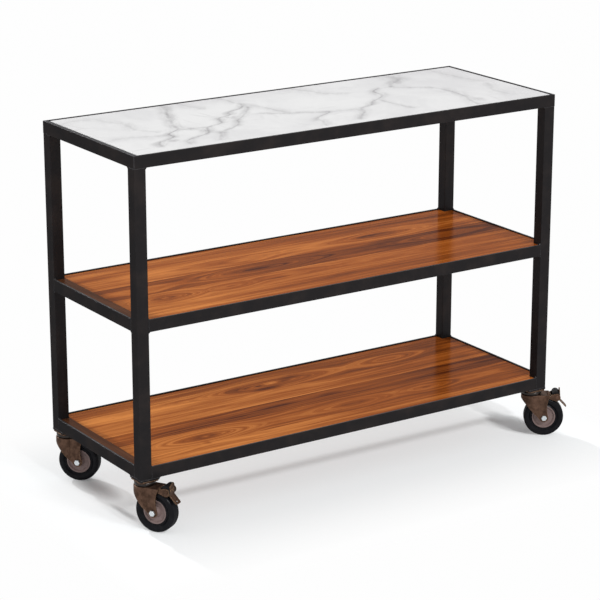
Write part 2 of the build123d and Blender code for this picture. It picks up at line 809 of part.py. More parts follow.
def make_brake_cam(where):
    """Black cam between the cheeks: its lobe locks the tread, and its crest carries the pedal."""
    half = cheek_gap / 2 - cam_side_gap
    to_axle = atan2(wheel_radius - brake_pin_height, trail - brake_pin_reach)
    away = hypot(trail - brake_pin_reach, wheel_radius - brake_pin_height)
    lobe_reach = away - wheel_radius - cam_tyre_gap - cam_lobe_radius
    lobe_turn = to_axle + radians(cam_lobe_lag)
    with BuildPart() as cam:
        with BuildSketch(upright_plane(where)):
            with Locations((brake_pin_reach, brake_pin_height)):
                Circle(cam_radius)
            with Locations((brake_pin_reach - cam_crest_back, brake_pin_height + cam_crest_rise)):
                Circle(cam_radius)
            with Locations(
                (
                    brake_pin_reach + lobe_reach * cos(lobe_turn),
                    brake_pin_height + lobe_reach * sin(lobe_turn),
                )
            ):
                Circle(cam_lobe_radius)
            make_hull()
            with Locations((brake_pin_reach, brake_pin_height)):
                Circle(brake_pin_radius + running_clearance, mode=Mode.SUBTRACT)
        extrude(amount=half, both=True)
        with BuildSketch(upright_plane(where)):
            with Locations((brake_pin_reach + pedal_seat + cam_radius, brake_pin_height)):
                Rectangle(2 * cam_radius, 6 * cam_radius)
        extrude(amount=pedal_width / 2 + pedal_slot_gap, both=True, mode=Mode.SUBTRACT)
        with BuildSketch(pedal_plane(where)):
            with Locations(*pedal_rivet_places()):
                Circle(rivet_radius + seat_play)
        extrude(amount=-pedal_rivet_reach - seat_play, mode=Mode.SUBTRACT)
    write(cam, f"brake_cam_{where}")


def make_brake_pedal(where):
    """Folded pedal plate: pointed release tab up, foot tab down and out, two rivets in the cam."""
    half = pedal_width / 2
    slope = radians(pedal_tail_angle)
    fold = (brake_pin_reach + pedal_seat, brake_pin_height - pedal_fold)
    tail = (fold[0] + pedal_tail * cos(slope), fold[1] - pedal_tail * sin(slope))
    step = pedal_sheet * (1 - cos(slope)) / sin(slope)
    with BuildPart() as pedal:
        with BuildSketch(upright_plane(where)):
            with BuildLine():
                Polyline(
                    (fold[0], brake_pin_height + pedal_top),
                    fold,
                    tail,
                    (tail[0] + pedal_sheet * sin(slope), tail[1] + pedal_sheet * cos(slope)),
                    (fold[0] + pedal_sheet, fold[1] + step * cos(slope)),
                    (fold[0] + pedal_sheet, brake_pin_height + pedal_top),
                    close=True,
                )
            make_face()
        extrude(amount=half, both=True)
        with BuildSketch(pedal_plane(where)):
            with BuildLine():
                Polyline(
                    (-half, -pedal_fold - pedal_tail),
                    (half, -pedal_fold - pedal_tail),
                    (half, pedal_high_shoulder),
                    (half * 0.65, pedal_top),
                    (half * 0.3, pedal_top),
                    (-half, pedal_low_shoulder),
                    close=True,
                )
            make_face()
        extrude(amount=pedal_tail + pedal_sheet, mode=Mode.INTERSECT)
        tail_corners = pedal.edges().filter_by(lambda e: abs(e.length - pedal_sheet) < 0.01)
        lowest = tail_corners.sort_by(Axis.Z)[:2]
        fillet(lowest, pedal_tail_corner)
        with BuildSketch(tail_plane(where)):
            with Locations((pedal_tail - pedal_hole_inset, 0)):
                Circle(pedal_hole_radius)
        extrude(amount=pedal_sheet, both=True, mode=Mode.SUBTRACT)
        with BuildSketch(pedal_plane(where).offset(pedal_sheet)):
            with Locations(*pedal_rivet_places()):
                Circle(rivet_head_radius)
        extrude(amount=rivet_head_height / 2)
        with BuildSketch(pedal_plane(where)):
            with Locations(*pedal_rivet_places()):
                Circle(rivet_radius)
        extrude(amount=-pedal_rivet_reach)
    write(pedal, f"brake_pedal_{where}")


# ---------------------------------------------------------------- making every piece
for where, (side_x, side_y, _, _) in casters.items():
    make_post(where, side_x, side_y)
for side in sides:
    make_rail("bottom", side, frame_bottom, mitred=False)
    make_rail("middle", side, middle_shelf_bottom, mitred=False)
    make_rail("top", side, top_ledge, mitred=True)
make_weld_beads()
make_corner_plates()
make_shelf("shelf_bottom", frame_bottom, bottom_planks)
make_shelf("shelf_middle", middle_shelf_bottom, middle_planks)
make_end_battens()
make_top()
make_screws()
make_balls()
make_king_bolts()
for where, (_, _, _, braked) in casters.items():
    make_caster_plate(where)
    make_race(where)
    make_fork(where)
    make_axle(where)
    make_hub(where)
    make_tyre(where)
    if braked:
        make_brake_bracket(where)
        make_brake_rivets(where)
        make_brake_pin(where)
        make_brake_cam(where)
        make_brake_pedal(where)
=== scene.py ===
import math
from functools import reduce

import bmesh
import bpy
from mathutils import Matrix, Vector

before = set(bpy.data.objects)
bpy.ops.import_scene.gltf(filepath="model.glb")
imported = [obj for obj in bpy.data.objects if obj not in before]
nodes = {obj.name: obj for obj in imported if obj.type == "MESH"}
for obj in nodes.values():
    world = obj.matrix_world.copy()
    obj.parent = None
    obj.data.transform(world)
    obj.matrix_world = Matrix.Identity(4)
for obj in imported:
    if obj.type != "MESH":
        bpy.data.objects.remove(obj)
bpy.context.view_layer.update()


# ---- Welded frame -------------------------------------------------------------------------
# Four square-tube posts, joined by three levels of angle iron that carry the slab and both
# shelves.  The steel is welded, the top mitres are ground flush, and the whole frame is then
# powder coated satin black, with a faint brown mottle where the coat is thin.

class Signal:
    """The output of a shader node.  Arithmetic on it adds Math nodes to its finish."""

    def __init__(self, finish, socket):
        self.finish = finish
        self.socket = socket

    def math(self, operation, *values):
        inputs = dict(enumerate(values))
        return self.finish.node("ShaderNodeMath", {"operation": operation}, inputs)

    def __add__(self, other):
        return self.math("ADD", self, other)

    __radd__ = __add__

    def __sub__(self, other):
        return self.math("SUBTRACT", self, other)

    def __rsub__(self, other):
        return self.math("SUBTRACT", other, self)

    def __mul__(self, other):
        return self.math("MULTIPLY", self, other)

    __rmul__ = __mul__

    def __truediv__(self, other):
        return self.math("DIVIDE", self, other)

    def __pow__(self, other):
        return self.math("POWER", self, other)

    def __abs__(self):
        return self.math("ABSOLUTE", self)

    def sine(self):
        return self.math("SINE", self)

    def most(self, other):
        return self.math("MAXIMUM", self, other)

    def least(self, other):
        return self.math("MINIMUM", self, other)

    def rise(self, low, high, bottom=0.0, top=1.0):
        """Smooth step from bottom to top as this value goes from low to high."""
        settings = {"interpolation_type": "SMOOTHSTEP"}
        inputs = {0: self, 1: low, 2: high, 3: bottom, 4: top}
        return self.finish.node("ShaderNodeMapRange", settings, inputs)

    def curve(self, points):
        """Smooth curve through points, for values from 0 to 1."""
        return self.finish.node("ShaderNodeFloatCurve", {"points": points}, {1: self})

    def steps(self, stops):
        """Value that stays the same from each stop to the next."""
        colours = [(at, (level, level, level, 1)) for at, level in stops]
        settings = {"interpolation": "CONSTANT", "stops": colours}
        return self.finish.node("ShaderNodeValToRGB", settings, {0: self})

    def ramp(self, stops):
        """Colour ramp through (place, colour) stops."""
        colours = [(at, (*colour, 1)) for at, colour in stops]
        return self.finish.node("ShaderNodeValToRGB", {"stops": colours}, {0: self})


class Finish:
    """A material in the making.  node() adds any shader node and gives its output."""

    def __init__(self, owner):
        self.owner = owner
        owner.use_nodes = True
        self.tree = owner.node_tree
        self.tree.nodes.clear()
        self.place = self.node("ShaderNodeTexCoord", output="Object")

    def node(self, kind, settings=None, inputs=None, output=0):
        made = self.tree.nodes.new(kind)
        for key, value in (settings or {}).items():
            if key == "stops":
                ramp = made.color_ramp
                while len(ramp.elements) < len(value):
                    ramp.elements.new(1.0)
                for stop, (at, colour) in zip(ramp.elements, value):
                    stop.position = at
                    stop.color = colour
            elif key == "interpolation":
                made.color_ramp.interpolation = value
            elif key == "points":
                line = made.mapping.curves[0]
                while len(line.points) < len(value):
                    line.points.new(0.5, 0.5)
                for point, at in zip(line.points, value):
                    point.location = at
                made.mapping.update()
            else:
                setattr(made, key, value)
        for key, value in (inputs or {}).items():
            if isinstance(value, Signal):
                self.tree.links.new(value.socket, made.inputs[key])
            else:
                made.inputs[key].default_value = value
        return None if output is None else Signal(self, made.outputs[output])

    def parts(self, vector=None):
        """The X, Y and Z of a place."""
        inputs = {0: vector or self.place}
        return [self.node("ShaderNodeSeparateXYZ", inputs=inputs, output=i) for i in range(3)]

    def point(self, x, y, z):
        """A place, or a colour, from its three parts."""
        return self.node("ShaderNodeCombineXYZ", inputs={0: x, 1: y, 2: z})

    def oval(self, x, y, half_length, half_width, amount):
        """Soft oval in plan: the amount at its middle, fading to 0 at its rim."""
        middle = (-x / half_length, -y / half_width, 0)
        scale = (1 / half_length, 1 / half_width, 0)
        inputs = {"Vector": self.place, "Location": middle, "Scale": scale}
        offset = self.node("ShaderNodeMapping", inputs=inputs)
        settings = {"operation": "LENGTH"}
        reach = self.node("ShaderNodeVectorMath", settings, {0: offset}, output="Value")
        return reach.rise(0.0, 1.0, amount, 0.0)

    def noise(self, scale, detail=2.0, rough=0.5, vector=None, bend=0.0):
        """Noise from 0 to 1, about 0.5, with scale patches to the metre."""
        inputs = {
            "Vector": vector or self.place,
            "Scale": scale,
            "Detail": detail,
            "Roughness": rough,
            "Distortion": bend,
        }
        return self.node("ShaderNodeTexNoise", inputs=inputs)

    def mix(self, share, first, second):
        """Colour between first and second."""
        first = (*first, 1) if isinstance(first, tuple) else first
        second = (*second, 1) if isinstance(second, tuple) else second
        inputs = {0: share, 6: first, 7: second}
        return self.node("ShaderNodeMix", {"data_type": "RGBA"}, inputs, output=2)

    def eased(self, radius):
        """Normal that turns smoothly around each sharp edge, within a radius in metres."""
        return self.node("ShaderNodeBevel", {"samples": 6}, {0: radius})

    def up(self, low, high, bottom=0.0, top=1.0):
        """Smooth step over the upward part of the normal, from -1 below to 1 on top."""
        normal = self.node("ShaderNodeNewGeometry", output="Normal")
        return self.parts(normal)[2].rise(low, high, bottom, top)

    def edge_band(self, radius, low, high):
        """Mask that is 1 along the sharp edges of a piece."""
        round_normal = self.eased(radius)
        flat_normal = self.node("ShaderNodeNewGeometry", output="Normal")
        inputs = {0: round_normal, 1: flat_normal}
        match = self.node("ShaderNodeVectorMath", {"operation": "DOT_PRODUCT"}, inputs, output=1)
        return (1 - match).rise(low, high)

    def bump(self, height, depth, edge_radius=None):
        """Relief from a height of 0 to 1, this many metres deep, with edges eased to a radius."""
        inputs = {"Height": height, "Distance": depth, "Strength": 1.0}
        if edge_radius:
            inputs["Normal"] = self.eased(edge_radius)
        return self.node("ShaderNodeBump", inputs=inputs)

    def surface(self, **inputs):
        """Finish with one Principled surface."""
        named = {key.replace("_", " "): value for key, value in inputs.items()}
        shader = self.node("ShaderNodeBsdfPrincipled", inputs=named)
        self.end(shader)

    def end(self, shader):
        """Join the shader to the output of a material or a world."""
        kind = "World" if isinstance(self.owner, bpy.types.World) else "Material"
        self.node(f"ShaderNodeOutput{kind}", inputs={"Surface": shader}, output=None)

    def shown(self):
        """Mask of the rays that show the white background: seen, mirrored and passed through."""
        kinds = ("Is Camera Ray", "Is Glossy Ray", "Is Transmission Ray")
        seen, mirrored, passed = [self.node("ShaderNodeLightPath", output=kind) for kind in kinds]
        return seen.most(mirrored).most(passed)

    def put_on(self, *names):
        """Give this finish to CAD nodes."""
        for name in names:
            node = nodes[name]
            node.data.materials.clear()
            node.data.materials.append(self.owner)


corners = ("front_left", "front_right", "rear_left", "rear_right")
levels = ("bottom", "middle", "top")
sides = ("front", "right", "back", "left")

edge_wear_and_highlight_radius = 0.0017
coat_edge_radius = 0.0016
coat_relief = 0.00004
coat_black = (0.0200, 0.0186, 0.0194)
coat_brown = (0.0290, 0.0246, 0.0240)
edge_wear_and_highlight_grey = (0.135, 0.135, 0.145)
painted_sheen_grey = (0.095, 0.094, 0.098)

coat = Finish(bpy.data.materials.new("black_coat"))
mottle = coat.noise(14.0, 4.0, 0.6).rise(0.42, 0.72)
speck = coat.noise(420.0, 2.0, 0.6)
patchy = coat.noise(60.0, 3.0, 0.6).rise(0.30, 0.60, 0.25, 1.0)
# Painted highlight and wear: along sharp edges the coat is made lighter grey, partly rubbed
# through and partly painted highlights on the rims.
edge_wear_and_highlight = coat.edge_band(edge_wear_and_highlight_radius, 0.01, 0.16) * patchy
coat_colour = coat.mix(mottle, coat_black, coat_brown)
coat_colour = coat.mix(edge_wear_and_highlight * 0.7, coat_colour, edge_wear_and_highlight_grey)
# Painted reflection: faces that look upward are made lighter grey, standing in for the bright sky
# they mirror.
coat_colour = coat.mix(coat.up(0.6, 0.95) * 0.8, coat_colour, painted_sheen_grey)
coat.surface(
    Base_Color=coat_colour,
    Metallic=0.55,
    Roughness=0.36 + mottle * 0.10 + speck * 0.08,
    Specular_IOR_Level=0.0,
    Specular_Tint=(0.52, 0.52, 0.52, 1.0),
    Normal=coat.bump(speck, coat_relief, coat_edge_radius),
)
coat.put_on(*[f"post_{corner}" for corner in corners])
coat.put_on(*[f"{level}_rail_{side}" for level in levels for side in sides])
coat.put_on("corner_plates", "weld_beads")


# ---- Timber shelves -----------------------------------------------------------------------
# Each shelf is edge-glued from hardwood boards of unequal width, with their grain along the
# trolley, and has a cross batten at its left end, coloured dark as painted shade along the left
# rail.  They are sanded, varnished satin, and screwed down from below through the ledges.

shelf_depth = 0.421
light_wood = (0.60, 0.212, 0.046)
middle_wood = (0.285, 0.072, 0.010)
dark_wood = (0.070, 0.015, 0.004)
varnish_relief = 0.00005
sway_width = 0.020
waver_width = 0.0065
eye_rise = 0.024
line_rounding = 0.000004
ring_turn = 760.0  # radians of growth ring per metre
ring_sway = 9.0
# Each board takes its figure from its own layer of the noise.
layer_step = 0.37
layer_spread = 40.0
# Painted light: the boards are made lighter toward the left end, where light falls in from the
# left, and a little darker toward the right.
left_x, left_painted_light = -0.56, 0.16
right_x, right_painted_shade = 0.50, -0.05
# How far each figure of the wood lightens and darkens it.
broad_share = 0.30
streak_share = 0.28
thread_share = 0.14
ring_share = 0.14
plain_ring = 0.08  # share of the rings that is left away from the eyes
pore_share = 0.30
underside_painted_shade = 0.75
# Noise per metre along the trolley and across: the first two across the trolley itself, the
# others across the line of the grain.
sway_grain = (1.8, 9.0)
waver_grain = (13.0, 45.0)
broad_grain = (1.3, 34.0)
streak_grain = (3.4, 130.0)
thread_grain = (9.0, 420.0)
pore_grain = (38.0, 1400.0)


def strongest(signals):
    """The greatest of several signals."""
    return reduce(Signal.most, signals)


def shelf_finish(name, boards, eyes, spots, seed):
    """Varnished boards, each with its width, its tone and the line of its heart across.

    The grain runs along the heart and closes around the eyes.  Eyes and spots are soft ovals,
    given as (x, y, half length, half width, amount), in metres.
    """
    wood = Finish(bpy.data.materials.new(name))
    x, y, z = wood.parts()
    across = y / shelf_depth + 0.5
    widths = [board[0] for board in boards]
    starts = [sum(widths[:i]) / sum(widths) for i in range(len(boards))]
    # The steps hold colours, which can't be negative, so the hearts are kept 1 m higher there.
    tone = across.steps([(start, board[1]) for start, board in zip(starts, boards)])
    heart = across.steps([(start, board[2] + 1.0) for start, board in zip(starts, boards)]) - 1.0
    picks = [(i * layer_step + seed) % 1.0 for i in range(len(boards))]
    layer = across.steps(list(zip(starts, picks))) * layer_spread

    def grain(size, side, detail, rough):
        return wood.noise(1.0, detail, rough, wood.point(x * size[0], side * size[1], layer))

    sway = grain(sway_grain, y, 2.0, 0.5) - 0.5
    waver = grain(waver_grain, y, 3.0, 0.6) - 0.5
    near = strongest([wood.oval(*eye) for eye in eyes])
    offset = y - heart + sway * sway_width
    lift = (1 - near) * eye_rise
    line = (offset * offset + lift * lift + line_rounding) ** 0.5 + lift + z + waver * waver_width
    ring = (line * ring_turn + sway * ring_sway).sine()
    broad = grain(broad_grain, line, 3.0, 0.55).rise(0.30, 0.70)
    streak = grain(streak_grain, line, 4.0, 0.62).rise(0.32, 0.68)
    thread = grain(thread_grain, line, 3.0, 0.60).rise(0.32, 0.68)
    pore = grain(pore_grain, line, 2.0, 0.5)
    # Painted light and shade along the trolley: lighter at the left end, darker at the right.
    painted_light_fade = x.rise(left_x, right_x, left_painted_light, right_painted_shade)
    level = tone + painted_light_fade + (broad - 0.5) * broad_share
    level = level + (streak - 0.5) * streak_share + (thread - 0.5) * thread_share
    level = level + ring * (plain_ring + near * near * (1 - plain_ring)) * ring_share
    for spot in spots:
        level = level + wood.oval(*spot)
    colour = level.ramp([(0.05, dark_wood), (0.5, middle_wood), (0.95, light_wood)])
    colour = wood.mix(pore.rise(0.60, 0.80) * pore_share, colour, dark_wood)
    # Painted shade: faces that look downward are darkened toward dark_wood.
    colour = wood.mix(wood.up(-0.6, -0.4, underside_painted_shade, 0.0), colour, dark_wood)
    wood.surface(
        Base_Color=colour,
        Metallic=0.16,
        Roughness=0.16 + streak * 0.06,
        Specular_IOR_Level=0.0,
        Normal=wood.bump(streak * 0.6 + pore * 0.4, varnish_relief),
    )
    return wood


bottom_shelf = shelf_finish(
    "bottom_shelf_varnish",
    boards=(
        (58, 0.53, -0.42),
        (93, 0.50, -0.110),
        (68, 0.26, -0.23),
        (76, 0.52, -0.20),
        (75, 0.44, 0.130),
        (51, 0.44, -0.10),
    ),
    eyes=(
        (-0.360, -0.110, 0.190, 0.110, 1.0),
        (-0.017, 0.130, 0.240, 0.110, 1.0),
        (0.345, 0.130, 0.150, 0.090, 0.60),
        (0.070, -0.110, 0.150, 0.080, 0.30),
        (0.300, -0.108, 0.120, 0.080, 0.30),
    ),
    spots=(
        (-0.017, 0.130, 0.095, 0.036, -0.26),
        (-0.017, 0.132, 0.042, 0.016, 0.62),
        (-0.052, 0.101, 0.070, 0.016, -0.50),
        (-0.100, 0.134, 0.060, 0.012, -0.22),
        (0.045, 0.142, 0.050, 0.018, -0.22),
        (-0.120, 0.125, 0.070, 0.030, -0.10),
        (-0.300, 0.141, 0.170, 0.012, -0.16),
        (-0.310, -0.001, 0.180, 0.007, -0.26),
        (-0.105, -0.023, 0.100, 0.014, -0.34),
        (-0.221, -0.037, 0.060, 0.008, -0.20),
        (-0.350, -0.046, 0.150, 0.005, -0.22),
        (0.065, -0.016, 0.060, 0.014, -0.26),
        (0.470, -0.035, 0.120, 0.060, 0.12),
        (-0.360, -0.110, 0.018, 0.010, 0.34),
        (-0.360, -0.110, 0.060, 0.028, -0.28),
        (-0.377, -0.148, 0.016, 0.016, -0.24),
        (-0.150, -0.115, 0.070, 0.010, -0.14),
        (0.070, -0.110, 0.080, 0.010, -0.20),
        (0.300, -0.107, 0.060, 0.009, -0.18),
        (0.205, -0.104, 0.060, 0.020, 0.16),
        (-0.100, -0.133, 0.500, 0.004, -0.14),
        (-0.100, -0.177, 0.450, 0.005, -0.20),
        (-0.430, -0.192, 0.240, 0.014, 0.20),
        (0.490, -0.058, 0.090, 0.005, -0.22),
        (-0.430, 0.112, 0.260, 0.022, 0.30),
        (-0.100, 0.012, 0.560, 0.004, 0.34),
        (-0.200, 0.087, 0.500, 0.003, 0.18),
        (-0.300, 0.079, 0.280, 0.004, -0.16),
        (-0.300, 0.160, 0.420, 0.004, 0.20),
    ),
    seed=0.13,
)
bottom_shelf.put_on("shelf_bottom")
middle_shelf = shelf_finish(
    "middle_shelf_varnish",
    boards=(
        (77, 0.49, -0.40),
        (90, 0.46, -0.086),
        (92, 0.27, 0.004),
        (79, 0.49, 0.095),
        (83, 0.42, -0.12),
    ),
    eyes=(
        (-0.450, -0.086, 0.150, 0.100, 1.0),
        (-0.133, 0.002, 0.240, 0.110, 0.75),
        (0.300, 0.098, 0.210, 0.090, 0.60),
        (-0.270, -0.088, 0.120, 0.080, 0.35),
        (0.420, 0.004, 0.180, 0.090, 0.40),
    ),
    spots=(
        (-0.450, -0.086, 0.016, 0.009, 0.30),
        (-0.450, -0.086, 0.052, 0.026, -0.26),
        (-0.133, -0.089, 0.050, 0.010, -0.26),
        (-0.140, 0.004, 0.110, 0.022, -0.14),
        (-0.330, 0.020, 0.160, 0.012, -0.16),
        (0.170, -0.077, 0.110, 0.022, 0.18),
        (0.270, 0.100, 0.090, 0.010, -0.22),
        (0.380, 0.012, 0.220, 0.030, 0.08),
        (-0.350, 0.052, 0.260, 0.004, 0.30),
        (0.350, 0.050, 0.300, 0.004, 0.22),
        (-0.010, -0.045, 0.170, 0.004, 0.30),
        (-0.150, -0.133, 0.500, 0.004, 0.20),
        (-0.380, 0.120, 0.260, 0.018, 0.20),
        (-0.300, 0.075, 0.240, 0.012, 0.16),
        (-0.430, -0.145, 0.200, 0.014, 0.16),
        (-0.430, -0.188, 0.260, 0.010, 0.18),
        (0.000, -0.150, 0.080, 0.008, -0.16),
        (0.100, -0.200, 0.600, 0.006, 0.14),
    ),
    seed=0.58,
)
middle_shelf.put_on("shelf_middle")

# Painted shade: the batten is coloured dark brown, standing in for the shade that lies along the
# left rail.
batten_shade_dark = (0.060, 0.022, 0.010)
batten_shade_light = (0.150, 0.060, 0.028)
batten = Finish(bpy.data.materials.new("batten_painted_shade"))
x, y, z = batten.parts()
streak = batten.noise(1.0, 4.0, 0.6, batten.point(x * 240.0, y * 8.0, z * 200.0))
batten.surface(
    Base_Color=streak.ramp([(0.2, batten_shade_dark), (0.8, batten_shade_light)]),
    Metallic=0.13,
    Roughness=0.18 + streak * 0.10,
    Specular_IOR_Level=0.0,
    Normal=batten.bump(streak, 0.00006),
)
batten.put_on("shelf_end_battens")

dull_zinc = (0.50, 0.54, 0.56)
bright_zinc = (0.72, 0.76, 0.78)
zinc = Finish(bpy.data.materials.new("zinc_plate"))
spangle = zinc.noise(300.0, 2.0, 0.5)
zinc.surface(
    Base_Color=zinc.mix(spangle, dull_zinc, bright_zinc),
    Metallic=1.0,
    Roughness=0.28 + spangle * 0.15,
    Normal=zinc.bump(spangle, 0.00002),
)
zinc.put_on("shelf_screws", "swivel_balls", "king_bolts")
zinc.put_on(*[f"axle_{corner}" for corner in corners])


# ---- Marble top ---------------------------------------------------------------------------
# A polished slab of white marble with grey veins, bedded on thin plywood inside the top frame
# with a narrow gap all round.  A steel filler bar stands between the slab and the left rim,
# and the plywood shows only from below, past the ledges.

vein_length = 1.184  # the veins are drawn over this plan, a little longer than the slab
vein_depth = 0.419
white_stone = (0.655, 0.655, 0.655)
cloudy_stone = (0.520, 0.515, 0.525)
haze_grey = (0.30, 0.292, 0.300)
core_grey = (0.19, 0.185, 0.19)
haze_spread = 4.5  # haze to each side of a vein, in widths of the vein
haze_strength = 0.85  # and its strength, as a share of the vein's
# At each end a vein's line runs on level by its tail.  The vein fades out from that far inside
# the end to vein_fade beyond it.  Both are shares of the slab.
vein_tail = 0.02
vein_fade = 0.03
smudge_core = 0.62
haze_cover = 0.90
core_cover = 0.75
crack_width = 0.05
crack_cover = 0.25
# How far noise bends the veins from one extreme to the other, in metres.
wobble_along, wobble_across = 0.022, 0.016
wander_along = 0.012
# The fine fibre leans 60 degrees from the slab's length.
lean_along, lean_across = 0.5, 0.87
fibre_grain = (14.0, 42.0, 40.0)
# Each vein is its strength, its width in metres and its line as (x, y) points in metres.
# The first kind crosses the slab from front to back, the second kind runs along it.
crossing_veins = (
    (1.00, 0.0075, (
        (-0.496, -0.168), (-0.478, -0.126), (-0.448, -0.112), (-0.424, -0.094), (-0.421, -0.066),
        (-0.396, -0.048), (-0.377, -0.033), (-0.366, 0.015), (-0.342, 0.057), (-0.317, 0.123),
        (-0.288, 0.186), (-0.290, 0.215),
    )),
    (0.90, 0.0070, (
        (-0.429, -0.177), (-0.415, -0.143), (-0.374, -0.123), (-0.342, -0.106), (-0.325, -0.078),
        (-0.306, -0.052), (-0.264, -0.036), (-0.249, -0.010), (-0.232, 0.018), (-0.199, 0.029),
        (-0.183, 0.057), (-0.133, 0.082), (-0.108, 0.123),
    )),
    (0.85, 0.0065, (
        (-0.350, -0.181), (-0.326, -0.136), (-0.308, -0.112), (-0.266, -0.092), (-0.233, -0.066),
        (-0.209, -0.027), (-0.182, -0.003), (-0.150, 0.032), (-0.108, 0.090),
    )),
    (0.45, 0.0080, (
        (-0.067, -0.027), (-0.075, 0.023), (-0.088, 0.073), (-0.112, 0.123), (-0.121, 0.182),
        (-0.129, 0.215),
    )),
    (0.80, 0.0070, (
        (-0.066, -0.190), (-0.052, -0.150), (-0.046, -0.118), (-0.020, -0.098), (0.016, -0.078),
        (0.020, -0.066),
    )),
    (0.90, 0.0075, (
        (0.040, -0.178), (0.070, -0.142), (0.094, -0.116), (0.113, -0.078), (0.150, -0.062),
        (0.175, -0.032), (0.202, -0.016), (0.236, 0.014), (0.242, 0.050), (0.252, 0.070),
        (0.281, 0.092),
    )),
    (1.00, 0.0130, (
        (0.317, 0.080), (0.330, 0.108), (0.352, 0.124), (0.372, 0.138), (0.388, 0.180),
        (0.379, 0.215),
    )),
    (0.65, 0.0090, (
        (0.375, -0.200), (0.386, -0.150), (0.404, -0.102), (0.408, -0.020), (0.398, 0.020),
        (0.358, 0.050), (0.319, 0.075),
    )),
    (0.50, 0.0055, ((0.217, -0.150), (0.207, -0.100), (0.201, -0.020))),
    (0.40, 0.0080, (
        (0.583, -0.006), (0.550, 0.022), (0.533, 0.090), (0.525, 0.148), (0.521, 0.215),
    )),
    (0.40, 0.0090, ((0.517, -0.160), (0.508, -0.094), (0.533, -0.040), (0.548, -0.006))),
    (0.40, 0.0090, (
        (-0.433, -0.038), (-0.462, 0.014), (-0.458, 0.058), (-0.455, 0.084), (-0.468, 0.100),
        (-0.492, 0.166),
    )),
    (0.40, 0.0110, ((0.178, 0.078), (0.150, 0.092), (0.108, 0.165), (0.092, 0.210))),
    (0.35, 0.0090, ((-0.217, 0.120), (-0.230, 0.160), (-0.242, 0.210))),
)
running_veins = (
    (0.80, 0.0060, ((-0.377, -0.042), (-0.350, -0.047), (-0.306, -0.052))),
    (0.55, 0.0060, ((-0.236, 0.018), (-0.205, 0.006), (-0.180, -0.003))),
    (0.55, 0.0070, (
        (-0.133, 0.007), (-0.100, -0.014), (-0.067, -0.031), (-0.017, -0.052), (0.024, -0.072),
    )),
    (0.30, 0.0060, ((0.021, -0.073), (0.070, -0.080), (0.113, -0.076))),
    (0.35, 0.0080, ((-0.590, -0.060), (-0.540, -0.046), (-0.480, -0.062), (-0.424, -0.076))),
    (0.30, 0.0080, ((-0.590, 0.160), (-0.540, 0.176), (-0.492, 0.164))),
)
# Darker clouds where veins meet, as soft ovals.
smudges = (
    (-0.330, -0.084, 0.024, 0.030, 1.0),
    (-0.312, -0.116, 0.026, 0.026, 1.0),
    (-0.450, -0.126, 0.030, 0.026, 0.7),
    (-0.492, -0.150, 0.026, 0.034, 0.9),
    (-0.388, -0.038, 0.024, 0.022, 0.8),
    (-0.198, -0.004, 0.034, 0.030, 0.6),
    (-0.067, -0.030, 0.022, 0.022, 0.6),
    (-0.042, -0.140, 0.022, 0.026, 0.7),
    (0.016, -0.068, 0.022, 0.016, 0.7),
    (0.358, 0.124, 0.034, 0.034, 1.0),
    (0.325, 0.090, 0.026, 0.026, 0.9),
    (0.404, -0.150, 0.034, 0.040, 0.7),
    (0.214, -0.132, 0.016, 0.022, 0.6),
    (0.165, 0.086, 0.034, 0.026, 0.5),
    (-0.218, 0.130, 0.030, 0.026, 0.4),
    (-0.462, 0.090, 0.034, 0.034, 0.4),
)

marble = Finish(bpy.data.materials.new("polished_marble"))
wobble = marble.noise(30.0, 5.0, 0.68) - 0.5
wander = marble.noise(8.0, 3.0, 0.55) - 0.5
x, y, z = marble.parts()
slanted = marble.point(
    (x * lean_along + y * lean_across) * fibre_grain[0],
    (x * lean_across - y * lean_along) * fibre_grain[1],
    z * fibre_grain[2],
)
fibre = marble.noise(1.0, 4.0, 0.60, slanted, bend=0.5).rise(0.32, 0.64, 0.20, 1.0)
patch = marble.noise(24.0, 3.0, 0.6).rise(0.32, 0.68, 0.30, 1.0)
bent_x = x + wobble * wobble_along + wander * wander_along
bent_y = y + wobble * wobble_across
across = bent_y / vein_depth + 0.5
along = bent_x / vein_length + 0.5
veins = [(vein, across, along, vein_depth, vein_length, (1, 0)) for vein in crossing_veins]
veins += [(vein, along, across, vein_length, vein_depth, (0, 1)) for vein in running_veins]
cores, hazes = [], []
for (strength, width, line), run, side, run_size, side_size, (run_axis, side_axis) in veins:
    places = [(at[run_axis] / run_size + 0.5, at[side_axis] / side_size + 0.5) for at in line]
    (low, first), (high, last) = places[0], places[-1]
    start, stop = max(low - vein_tail, 0.0), min(high + vein_tail, 1.0)
    middle = run.curve([(start, first)] + places + [(stop, last)])
    ends = run.rise(low - vein_fade, low + vein_tail)
    ends = ends * run.rise(high - vein_tail, high + vein_fade, 1.0, 0.0)
    gap = abs(side - middle) * side_size
    cores.append(gap.rise(0.0, width, 1.0, 0.0) * ends * strength)
    hazes.append(gap.rise(0.0, width * haze_spread, 1.0, 0.0) * ends * (strength * haze_strength))
for smudge in smudges:
    smoke = marble.oval(*smudge)
    cores.append(smoke * fibre * smudge_core)
    hazes.append(smoke)
core = strongest(cores)
haze = strongest(hazes)
crazing = marble.node(
    "ShaderNodeTexVoronoi",
    {"feature": "DISTANCE_TO_EDGE"},
    {"Vector": marble.point(bent_x, bent_y + x * 0.6, z), "Scale": 9.0},
)
crack = crazing.rise(0.0, crack_width, 1.0, 0.0)
crack = crack * marble.noise(5.0, 2.0, 0.5).rise(0.45, 0.65) * crack_cover
